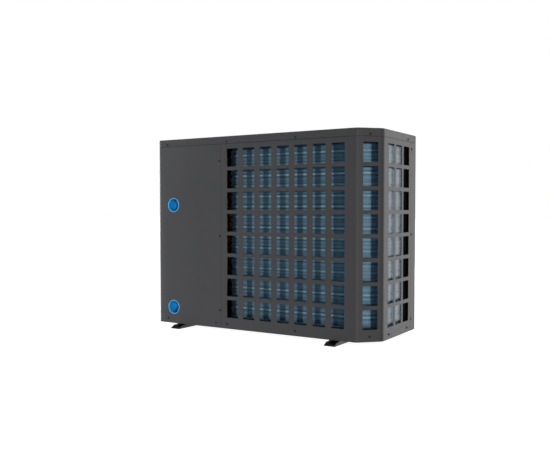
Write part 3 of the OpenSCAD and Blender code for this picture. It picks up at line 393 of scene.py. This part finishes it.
# ------------------------------------------------- shading of the CAD nodes
def prepare_group(angle):
    """Welds the split corners, drops imported normals, smooths by edge angle."""
    g = bpy.data.node_groups.new("prepare_%d" % angle, "GeometryNodeTree")
    g.interface.new_socket("Geometry", in_out="INPUT", socket_type="NodeSocketGeometry")
    g.interface.new_socket("Geometry", in_out="OUTPUT", socket_type="NodeSocketGeometry")
    nin, nout = g.nodes.new("NodeGroupInput"), g.nodes.new("NodeGroupOutput")
    rem = g.nodes.new("GeometryNodeRemoveAttribute")
    rem.inputs["Name"].default_value = "custom_normal"
    weld = g.nodes.new("GeometryNodeMergeByDistance")
    weld.inputs["Distance"].default_value = 2e-6
    s1 = g.nodes.new("GeometryNodeSetShadeSmooth")
    s1.domain = "FACE"
    s2 = g.nodes.new("GeometryNodeSetShadeSmooth")
    s2.domain = "EDGE"
    s2.inputs["Shade Smooth"].default_value = False
    ang = g.nodes.new("GeometryNodeInputMeshEdgeAngle")
    cmp = g.nodes.new("FunctionNodeCompare")
    cmp.data_type = "FLOAT"
    cmp.operation = "GREATER_THAN"
    cmp.inputs[1].default_value = math.radians(angle)
    L = g.links.new
    L(nin.outputs[0], rem.inputs["Geometry"])
    L(rem.outputs[0], weld.inputs["Geometry"])
    L(weld.outputs[0], s1.inputs["Geometry"])
    L(s1.outputs[0], s2.inputs["Geometry"])
    L(ang.outputs[0], cmp.inputs[0])
    L(cmp.outputs[0], s2.inputs["Selection"])
    L(s2.outputs[0], nout.inputs[0])
    return g


def fold_group(z):
    """Marks the corner edges that lie at height z for the wide bevel of the lid's fold."""
    g = bpy.data.node_groups.new("fold_edges", "GeometryNodeTree")
    g.interface.new_socket("Geometry", in_out="INPUT", socket_type="NodeSocketGeometry")
    g.interface.new_socket("Geometry", in_out="OUTPUT", socket_type="NodeSocketGeometry")
    nin, nout = g.nodes.new("NodeGroupInput"), g.nodes.new("NodeGroupOutput")
    store = g.nodes.new("GeometryNodeStoreNamedAttribute")
    store.data_type = "FLOAT"
    store.domain = "EDGE"
    store.inputs["Name"].default_value = "bevel_weight_edge"
    pos = g.nodes.new("GeometryNodeInputPosition")
    sep = g.nodes.new("ShaderNodeSeparateXYZ")
    high = g.nodes.new("ShaderNodeMath")
    high.operation = "GREATER_THAN"
    high.inputs[1].default_value = z - 0.0002
    ang = g.nodes.new("GeometryNodeInputMeshEdgeAngle")
    turn = g.nodes.new("ShaderNodeMath")
    turn.operation = "GREATER_THAN"
    turn.inputs[1].default_value = math.radians(40)
    both = g.nodes.new("ShaderNodeMath")
    both.operation = "MULTIPLY"
    L = g.links.new
    L(nin.outputs[0], store.inputs["Geometry"])
    L(pos.outputs[0], sep.inputs[0])
    L(sep.outputs[2], high.inputs[0])
    L(ang.outputs[0], turn.inputs[0])
    L(high.outputs[0], both.inputs[0])
    L(turn.outputs[0], both.inputs[1])
    L(both.outputs[0], store.inputs["Value"])
    L(store.outputs[0], nout.inputs[0])
    return g


PREP = prepare_group(32)
FOLD = fold_group(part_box("top_cover")[1].z)
BEVEL = {"top_cover": 1.0, "service_panel": 0.45, "grille_panel": 0.45, "front_panel": 0.45,
         "base_pan": 0.4, "foot_rail_compressor_end": 0.8, "foot_rail_coil_end": 0.8,
         "fan_guard": 0.7, "display_bezel": 1.2, "display_glass": 0.5, "carry_handle": 1.0,
         "gland_nut": 0.5, "motor_bracket": 0.3}
for name, o in NODES.items():
    md = o.modifiers.new("prepare", "NODES")
    md.node_group = PREP
    if name in BEVEL:
        d = o.modifiers.new("flats", "DECIMATE")
        d.decimate_type = "DISSOLVE"
        d.angle_limit = math.radians(0.4)
        if name == "top_cover":
            o.modifiers.new("fold_edges", "NODES").node_group = FOLD
            b = o.modifiers.new("fold", "BEVEL")
            b.width = 3.6 * MM
            b.segments = 5
            b.limit_method = "WEIGHT"
            b.harden_normals = True
            b.use_clamp_overlap = False
        b = o.modifiers.new("edges", "BEVEL")
        b.width = BEVEL[name] * MM
        b.segments = 2
        b.limit_method = "ANGLE"
        b.angle_limit = math.radians(40)
        b.harden_normals = True
        b.use_clamp_overlap = True


# --------------------------------------------------------------- mesh helpers
def make(name, bm, body, slot, mat=None, smooth=True, replaces=None):
    bmesh.ops.recalc_face_normals(bm, faces=bm.faces[:])
    me = bpy.data.meshes.new(name)
    bm.to_mesh(me)
    bm.free()
    if smooth:
        me.polygons.foreach_set("use_smooth", [True] * len(me.polygons))
    o = bpy.data.objects.new(name, me)
    scene.collection.objects.link(o)
    o.data.materials.append(mat or M[slot])
    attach(o, body)
    if replaces:
        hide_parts(replaces)
    return o


def sharpen(o, degrees):
    """Marks edges over an angle as sharp in a piece's own mesh."""
    bm = bmesh.new()
    bm.from_mesh(o.data)
    for e in bm.edges:
        if len(e.link_faces) == 2 and e.calc_face_angle(0) > math.radians(degrees):
            e.smooth = False
    bm.to_mesh(o.data)
    bm.free()


def lathe(bm, prof, n, mat4):
    """Closed profile [(r, a)] turned about the local Z axis."""
    rings = []
    for i in range(n):
        t = 2 * math.pi * i / n
        rings.append([bm.verts.new(mat4 @ Vector((r * math.cos(t), r * math.sin(t), a)))
                      for r, a in prof])
    k = len(prof)
    for i in range(n):
        p, q = rings[i], rings[(i + 1) % n]
        for j in range(k):
            f = (p[j], q[j], q[(j + 1) % k], p[(j + 1) % k])
            bm.faces.new(f)


# --------------------------------------------------------------------- coil
FX, FZ = -0.135, 0.385
lo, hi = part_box("fin_pack")
COIL_Y, END_X = hi.y, hi.x
COIL_X, END_Y = lo.x, lo.y
Z0, Z1 = lo.z, hi.z
DEPTH, R_OUT = 0.044, 0.110
CX, CY = COIL_X + R_OUT, COIL_Y - R_OUT


def coil_path(d):
    """Plan points of the line d behind the coil's face, as a function of arc share."""
    r = R_OUT - d
    l1, l2, l3 = END_X - CX, 0.5 * math.pi * r, CY - END_Y

    def at(s):
        if s < l1:
            return Vector((END_X - s, COIL_Y - d, 0)), Vector((0, 1, 0)), Vector((-1, 0, 0))
        s -= l1
        if s < l2:
            a = math.pi / 2 + s / r
            n = Vector((math.cos(a), math.sin(a), 0))
            return Vector((CX, CY, 0)) + r * n, n, Vector((-math.sin(a), math.cos(a), 0))
        s -= l2
        return Vector((COIL_X + d, CY - s, 0)), Vector((-1, 0, 0)), Vector((0, -1, 0))
    return at, l1 + l2 + l3


def build_fins():
    """Thin wavy fins standing along the bent coil, one closed leaf each."""
    bm = bmesh.new()
    at, total = coil_path(DEPTH / 2)
    pitch = 0.0024
    # distance behind the face, sideways offset, half thickness: hemmed edge, then waves
    hem = 0.00085
    wave = [(0.0001, 0.0, hem), (0.0013, 0.0003, 0.00012)]
    for i in range(1, 9):
        wave.append((0.0053 * i, (0.0011 if i % 2 else -0.0011), 0.00009))
    wave.append((DEPTH - 0.0001, 0.0, 0.00009))
    count = int((total - 0.0034) / pitch)
    for f in range(count + 1):
        p, n, t = at(0.0017 + f * pitch)
        # the bend opens the gaps at the face, so the hems are spread there
        spread = 1.55 if n.x < -0.02 and n.y > 0.02 else 1.25 if n.y < 0.02 else 1.0
        jig = random.uniform(-0.0001, 0.0001)
        rows = []
        for z in (Z0, Z1):
            row = []
            for side in (-1, 1):
                for d, off, half in wave:
                    wide = half * spread if half == hem else half
                    v = p + n * (DEPTH / 2 - d) + t * (off + side * wide + jig)
                    row.append(bm.verts.new((v.x, v.y, z)))
            rows.append(row)
        k = len(wave)
        lo_r, hi_r = rows
        for i in range(k - 1):
            j = i + 1
            bm.faces.new((lo_r[i], hi_r[i], hi_r[j], lo_r[j]))
            bm.faces.new((lo_r[k + i], lo_r[k + j], hi_r[k + j], hi_r[k + i]))
            bm.faces.new((lo_r[i], lo_r[j], lo_r[k + j], lo_r[k + i]))
            bm.faces.new((hi_r[i], hi_r[k + i], hi_r[k + j], hi_r[j]))
        bm.faces.new((lo_r[0], lo_r[k], hi_r[k], hi_r[0]))
        bm.faces.new((lo_r[k - 1], hi_r[k - 1], hi_r[2 * k - 1], lo_r[2 * k - 1]))
    return make("coil_fins", bm, "casing", "fin_blue", smooth=False, replaces="fin_pack")


def build_collars():
    """Fin collars: the drawn sleeves round each tube that set the fin pitch."""
    bm = bmesh.new()
    for k in (0, 1):
        d = TUBE_IN + k * DEPTH / 2
        at, total = coil_path(d)
        n = 46
        for row in range(TUBE_N):
            z = TUBE_Z0 + TUBE_P * (row + k / 2)
            rings = []
            for i in range(n + 1):
                p, nrm, t = at(0.0012 + (total - 0.0024) * i / n)
                ring = []
                for a in range(12):
                    w = 2 * math.pi * a / 12
                    v = p + nrm * (COLLAR_R * math.cos(w))
                    ring.append(bm.verts.new((v.x, v.y, z + COLLAR_R * math.sin(w))))
                rings.append(ring)
            for i in range(n):
                for a in range(12):
                    b = (a + 1) % 12
                    bm.faces.new((rings[i][a], rings[i + 1][a], rings[i + 1][b], rings[i][b]))
            bm.faces.new(rings[0])
            bm.faces.new(rings[-1][::-1])
    return make("fin_collars", bm, "casing", "fin_blue", COLLAR_PAINTED_LIGHT)


build_fins()
build_collars()


# ------------------------------------------------------------- water sockets
def build_plugs():
    """Transport plugs that close the waterway behind the pipe stop of each socket."""
    for node, name in (("water_outlet_socket", "water_outlet_plug"), ("water_inlet_socket", "water_inlet_plug")):
        blo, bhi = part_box(node)
        x, z, stop = (blo.x + bhi.x) / 2, (blo.z + bhi.z) / 2, bhi.y - 0.034
        bm = bmesh.new()
        # distance from the axis, distance behind the pipe stop
        prof = [(20.2, 5.6), (20.4, 5.2), (20.4, 0.9), (20.0, 0.4), (17.6, 0.25), (16.6, 0.9), (6.0, 1.3),
                (5.0, 0.5), (0.05, 0.5), (0.05, 3.0), (17.0, 3.6), (18.4, 5.6)]
        place = Matrix.Translation((x, stop, z)) @ Matrix.Rotation(math.radians(90), 4, "X")
        lathe(bm, [(r * MM, a * MM) for r, a in prof], 64, place)
        o = make(name, bm, "casing", "blue_plastic", PLUG)
        sharpen(o, 40)


build_plugs()


# ----------------------------------------------------------------- seam tapes and painted seam shade
def build_tapes():
    """Black sealing tape in the lap behind each casing seam, near-black so that each seam gap also reads as
    painted shade.
    """
    bm = bmesh.new()
    slo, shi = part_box("service_panel")
    clo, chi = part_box("top_cover")
    t = 0.0012

    def block(x0, x1, y0, y1, z0, z1):
        v = [bm.verts.new((x, y, z)) for z in (z0, z1) for x, y in ((x0, y0), (x1, y0), (x1, y1), (x0, y1))]
        for f in ((3, 2, 1, 0), (4, 5, 6, 7), (0, 1, 5, 4), (1, 2, 6, 5), (2, 3, 7, 6), (3, 0, 4, 7)):
            bm.faces.new([v[i] for i in f])
    rear, left, right, front = chi.y, clo.x, chi.x, clo.y
    a, b = t + 0.00003, t + 0.00017
    zb, zt = 0.0545, clo.z - 0.0062
    block(slo.x - 0.0007, slo.x + 0.004, rear - b, rear - a, zb, zt)
    for x0, x1 in ((left + a, left + b), (right - b, right - a)):
        block(x0, x1, SEAM_Y - 0.004, SEAM_Y + 0.0003, zb, zt)
    # round the top, in the lap under the lid's skirt
    zb, zt = clo.z - 0.0006, clo.z + 0.005
    block(-0.380, 0.4600, rear - b, rear - a, zb, zt)
    block(left + a, left + b, -0.178, 0.100, zb, zt)
    block(right - b, right - a, -0.178, 0.168, zb, zt)
    block(-0.468, 0.476, front + a, front + b, zb, zt)
    # across the angled corner
    h = 0.030
    cx, cy = left + 0.0685 / 2, rear - 0.0685 / 2
    q = math.sqrt(0.5)
    v = []
    for z in (zb, zt):
        for s, d in ((-h, a), (h, a), (h, b), (-h, b)):
            v.append(bm.verts.new((cx - q * s + q * d, cy - q * s - q * d, z)))
    for f in ((3, 2, 1, 0), (4, 5, 6, 7), (0, 1, 5, 4), (1, 2, 6, 5), (2, 3, 7, 6), (3, 0, 4, 7)):
        bm.faces.new([v[i] for i in f])
    make("seam_shade_tapes", bm, "casing", "rubber", SHADE_BLACK, smooth=False)


build_tapes()


# ---------------------------------------------------------------- fan rotor
def build_fan():
    bm = bmesh.new()
    y0 = -0.140
    place = Matrix.Translation((FX, y0, FZ)) @ Matrix.Rotation(math.radians(-90), 4, "X")
    prof = [(6.37, -32), (40, -32), (46, -31.7), (51, -30.7), (55, -29), (58.2, -26.6), (60.4, -23.6),
            (61.7, -20.5), (62, -17), (62, 31.4), (61.4, 32), (59.6, 32), (59, 31.4), (59, -17),
            (58, -20.8), (55.5, -24.5), (51, -27.4), (47, -28), (17, -28), (17, 4), (6.37, 4)]
    lathe(bm, [(r * MM, a * MM) for r, a in prof], 96, place)
    bs, bc = 22, 30

    def point(s, c, side):
        r = 60 + 183 * s
        a = math.radians(26 * s ** 1.6 + (c - 0.5) * (70 + 24 * s - 30 * s * s))
        th = 0.9 + 1.6 * (1 - abs(2 * c - 1) ** 3) * (1 - 0.4 * s)
        edge = min(1.0, 14 * min(c, 1 - c, 1 - s + 0.004) + 0.25)
        y = (c - 0.5) * (54 - 6 * s) - 9 * math.sin(math.pi * c) * (0.4 + 0.6 * s) + 4
        return Vector((r * math.cos(a), y + side * th * edge, r * math.sin(a))) * MM
    for i in range(3):
        turn = Matrix.Translation((FX, y0, FZ)) @ Matrix.Rotation(2 * math.pi * i / 3, 4, "Y")
        g = [[[bm.verts.new(turn @ point(a / bs, b / bc, side)) for b in range(bc + 1)]
              for a in range(bs + 1)] for side in (1, -1)]
        for a in range(bs):
            for b in range(bc):
                bm.faces.new((g[0][a][b], g[0][a + 1][b], g[0][a + 1][b + 1], g[0][a][b + 1]))
                bm.faces.new((g[1][a][b], g[1][a][b + 1], g[1][a + 1][b + 1], g[1][a + 1][b]))
        for a in range(bs):
            bm.faces.new((g[0][a][0], g[1][a][0], g[1][a + 1][0], g[0][a + 1][0]))
            bm.faces.new((g[0][a][bc], g[0][a + 1][bc], g[1][a + 1][bc], g[1][a][bc]))
        for b in range(bc):
            bm.faces.new((g[0][0][b], g[0][0][b + 1], g[1][0][b + 1], g[1][0][b]))
            bm.faces.new((g[0][bs][b], g[1][bs][b], g[1][bs][b + 1], g[0][bs][b + 1]))
    o = make("fan_rotor_moulding", bm, "fan", "fan_plastic", replaces="fan_rotor")
    sharpen(o, 50)
    return o


build_fan()


# ------------------------------------------------------------------- display
def build_display():
    """Generic read-out and touch marks on the display window."""
    dlo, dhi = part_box("display_glass")
    y = dlo.y
    cx, cz = (dlo.x + dhi.x) / 2, (dlo.z + dhi.z) / 2
    depth = 0.00025

    def slab(bm, pts):
        """Thin flat tile from outline points (u to the viewer's right, v up)."""
        front = [bm.verts.new((cx + u, y - depth, cz + v)) for u, v in pts]
        back = [bm.verts.new((cx + u, y + 0.00005, cz + v)) for u, v in pts]
        bm.faces.new(front)
        bm.faces.new(back[::-1])
        n = len(pts)
        for i in range(n):
            j = (i + 1) % n
            bm.faces.new((front[i], back[i], back[j], front[j]))

    def bar(bm, u, v, w, h):
        e = min(w, h) / 2
        if w > h:
            pts = [(u - w / 2 + e, v - e), (u + w / 2 - e, v - e), (u + w / 2, v),
                   (u + w / 2 - e, v + e), (u - w / 2 + e, v + e), (u - w / 2, v)]
        else:
            pts = [(u - e, v - h / 2 + e), (u, v - h / 2), (u + e, v - h / 2 + e),
                   (u + e, v + h / 2 - e), (u, v + h / 2), (u - e, v + h / 2 - e)]
        slab(bm, pts)

    def arc(bm, u, v, r, w, a0, a1, n):
        pts = [(u + (r + w) * math.cos(a0 + (a1 - a0) * i / n), v + (r + w) * math.sin(a0 + (a1 - a0) * i / n))
               for i in range(n + 1)]
        pts += [(u + r * math.cos(a1 + (a0 - a1) * i / n), v + r * math.sin(a1 + (a0 - a1) * i / n))
                for i in range(n + 1)]
        slab(bm, pts)
    segs = {"2": "abged", "8": "abcdefg", "0": "abcdef", "6": "afgedc"}
    digits = bmesh.new()
    h, w, k = 0.030, 0.0155, 0.0026

    def digit(ch, u, v):
        place = {"a": (0, h / 2, w, k), "g": (0, 0, w, k), "d": (0, -h / 2, w, k),
                 "b": (w / 2 + k * 0.35, h / 4, k, h / 2 - k * 0.5), "c": (w / 2 + k * 0.35, -h / 4, k, h / 2 - k * 0.5),
                 "f": (-w / 2 - k * 0.35, h / 4, k, h / 2 - k * 0.5), "e": (-w / 2 - k * 0.35, -h / 4, k, h / 2 - k * 0.5)}
        for s in segs[ch]:
            du, dv, bw, bh = place[s]
            bar(digits, u + du, v + dv, bw, bh)
    digit("2", -0.016, 0.014)
    digit("8", 0.010, 0.014)
    arc(digits, 0.0265, 0.0285, 0.0018, 0.0011, 0.0, 2 * math.pi - 0.02, 20)
    make("display_digits", digits, "casing", "display_black",
         glow("display_light", (0.75, 0.9, 1.0), 1.6), smooth=False)
    marks = bmesh.new()
    v = -0.030
    arc(marks, -0.045, v, 0.0042, 0.0012, math.radians(125), math.radians(415), 24)
    bar(marks, -0.045, v + 0.0046, 0.0012, 0.0056)
    for s, u in ((1, -0.015), (-1, 0.015)):
        slab(marks, [(u - 0.0052, v - s * 0.003), (u, v + s * 0.003), (u + 0.0052, v - s * 0.003),
                     (u + 0.0052, v - s * 0.0012), (u, v + s * 0.0048), (u - 0.0052, v - s * 0.0012)][::s])
    for i in range(3):
        bar(marks, 0.045, v - 0.004 + 0.004 * i, 0.010, 0.0013)
    make("display_marks", marks, "casing", "display_black",
         glow("display_mark_light", (0.62, 0.7, 0.75), 0.8), smooth=False)


build_display()

# ------------------------------------------------------------------- stage
floor_bm = bmesh.new()
bmesh.ops.create_grid(floor_bm, x_segments=2, y_segments=2, size=30)
floor_me = bpy.data.meshes.new("floor")
floor_bm.to_mesh(floor_me)
floor_bm.free()
floor = bpy.data.objects.new("floor", floor_me)
scene.collection.objects.link(floor)
floor.location = (0, 0, -0.0004)
fm = Mat("pale_floor").set(rough=0.9, spec=0.1, emit=0.94)
# painted shadow: the floor's glow is dark under the middle of the casing, where no lamp reaches
under_x = fm.span(fm.math("ABSOLUTE", fm.math("SUBTRACT", fm.axis(0), 0.004)), 1.0, 0.0, 0.370, 0.390)
under_y = fm.span(fm.math("ABSOLUTE", fm.axis(1)), 1.0, 0.0, 0.085, 0.097)
fm.link(fm.mix(fm.math("MULTIPLY", under_x, under_y), (1.0, 1.0, 1.0), (0.03, 0.03, 0.032)),
        fm.b.inputs["Emission Color"])
fm.colour(fm.ramp(fm.noise(3.0, 3), [(0.3, (0.55, 0.55, 0.55)), (0.7, (0.6, 0.6, 0.6))]))
floor.data.materials.append(fm.m)
floor.visible_diffuse = False
floor.visible_glossy = False

world = bpy.data.worlds.new("studio")
world.use_nodes = True
scene.world = world
wt = world.node_tree
bg_seen = wt.nodes["Background"]
bg_seen.inputs["Color"].default_value = (1, 1, 1, 1)
bg_seen.inputs["Strength"].default_value = 1.0
bg_env = wt.nodes.new("ShaderNodeBackground")
bg_env.inputs["Color"].default_value = (1, 1, 1, 1)
w_co = wt.nodes.new("ShaderNodeTexCoord")


def lobe(axis, wide, tight):
    """0 away from axis, 1 within the tight angle."""
    d = wt.nodes.new("ShaderNodeVectorMath")
    d.operation = "DOT_PRODUCT"
    d.inputs[1].default_value = Vector(axis).normalized()
    wt.links.new(w_co.outputs["Generated"], d.inputs[0])
    r = wt.nodes.new("ShaderNodeMapRange")
    r.interpolation_type = "SMOOTHSTEP"
    r.inputs["From Min"].default_value = math.cos(math.radians(wide))
    r.inputs["From Max"].default_value = math.cos(math.radians(tight))
    wt.links.new(d.outputs["Value"], r.inputs["Value"])
    return r.outputs["Result"]


def w_math(op, a, b):
    n = wt.nodes.new("ShaderNodeMath")
    n.operation = op
    for val, sock in ((a, n.inputs[0]), (b, n.inputs[1])):
        if isinstance(val, (int, float)):
            sock.default_value = val
        else:
            wt.links.new(val, sock)
    return n.outputs[0]


# a dark flag off the coil end, so that the last bend reads dark
level = w_math("SUBTRACT", 0.275, w_math("MULTIPLY", lobe((-0.97, -0.20, 0.0), 42, 14), 0.25))
# brighter off the compressor end, fading towards the rear
walls = w_math("MULTIPLY", lobe((1.0, 0.0, 0.0), 68, 25), 1.35)
walls = w_math("ADD", walls, w_math("MULTIPLY", lobe((0.93, -0.37, 0.0), 46, 20), 5.2))
# the camera side: seen in the bends and in the 45 degree corner
walls = w_math("ADD", walls, w_math("MULTIPLY", lobe((-0.47, 0.883, 0.0), 34, 10), 0.78))
walls = w_math("ADD", walls, w_math("MULTIPLY", lobe((-0.85, 0.53, 0.0), 34, 14), 0.4))
# the bright walls end a little above eye level, so that the lid doesn't glare
w_sep = wt.nodes.new("ShaderNodeSeparateXYZ")
wt.links.new(w_co.outputs["Generated"], w_sep.inputs[0])
w_top = wt.nodes.new("ShaderNodeMapRange")
w_top.interpolation_type = "SMOOTHSTEP"
w_top.inputs["From Min"].default_value = 0.08
w_top.inputs["From Max"].default_value = 0.30
w_top.inputs["To Min"].default_value = 1.0
w_top.inputs["To Max"].default_value = 0.12
wt.links.new(w_sep.outputs[2], w_top.inputs["Value"])
level = w_math("ADD", level, w_math("MULTIPLY", walls, w_top.outputs["Result"]))
wt.links.new(level, bg_env.inputs["Strength"])
w_path = wt.nodes.new("ShaderNodeLightPath")
w_mix = wt.nodes.new("ShaderNodeMixShader")
wt.links.new(w_path.outputs["Is Camera Ray"], w_mix.inputs[0])
wt.links.new(bg_env.outputs[0], w_mix.inputs[1])
wt.links.new(bg_seen.outputs[0], w_mix.inputs[2])
wt.links.new(w_mix.outputs[0], wt.nodes["World Output"].inputs["Surface"])


def aim(o, direction):
    o.rotation_mode = "QUATERNION"
    o.rotation_quaternion = Vector(direction).to_track_quat("-Z", "Y")


def light(name, kind, energy, loc, direction, **kw):
    d = bpy.data.lights.new(name, kind)
    d.energy = energy
    for k, v in kw.items():
        setattr(d, k, v)
    o = bpy.data.objects.new(name, d)
    scene.collection.objects.link(o)
    o.location = loc
    aim(o, direction)
    o.visible_camera = False
    return o


# key: almost level, from the coil end of the rear face
key = light("key", "SUN", 4.2, (-3, 3, 1), (0.77, -0.64, -0.025), angle=math.radians(2.0),
            color=(1.0, 0.77, 0.64))
key.visible_glossy = False
# fill: square on to the rear face
fill = light("fill", "SUN", 0.52, (0, 3, 1), (0.05, -1.0, -0.02), angle=math.radians(3.0),
             color=(0.72, 0.98, 1.0))
fill.visible_glossy = False
# strip that the coil end face mirrors
end_centre = Vector((-0.477, -0.02, 0.38))
side_dir = Vector((-0.528, -0.848, 0.0)).normalized()
strip = light("end_strip", "AREA", 23.0, end_centre + side_dir * 2.6 + Vector((0, 0, 0.1)), -side_dir,
      shape="RECTANGLE", size=1.5, size_y=2.4)
strip.visible_diffuse = False
# soft boxes for the fan face and the lid
light("front_soft", "AREA", 60.0, (0.7, -3.0, 1.5), (-0.2, 0.93, -0.33), shape="RECTANGLE", size=2.2, size_y=1.8)
top = light("top_soft", "AREA", 40.0, (0, 0, 3.2), (0, 0, -1), shape="RECTANGLE", size=2.5, size_y=2.5)
top.visible_glossy = False

# ------------------------------------------------------------------- camera
cam_d = bpy.data.cameras.new("camera")
cam_d.lens = 46.264
cam_d.sensor_width = 36.0
cam_d.sensor_fit = "HORIZONTAL"
cam = bpy.data.objects.new("camera", cam_d)
scene.collection.objects.link(cam)
cam.location = (-1.45127, 2.39392, 0.47446)
ca, ct = math.radians(211.906), math.radians(1.986)
aim(cam, (-math.sin(ca) * math.cos(ct), math.cos(ca) * math.cos(ct), -math.sin(ct)))
scene.camera = cam
scene.view_settings.view_transform = "Standard"
scene.view_settings.look = "None"

bpy.context.view_layer.update()
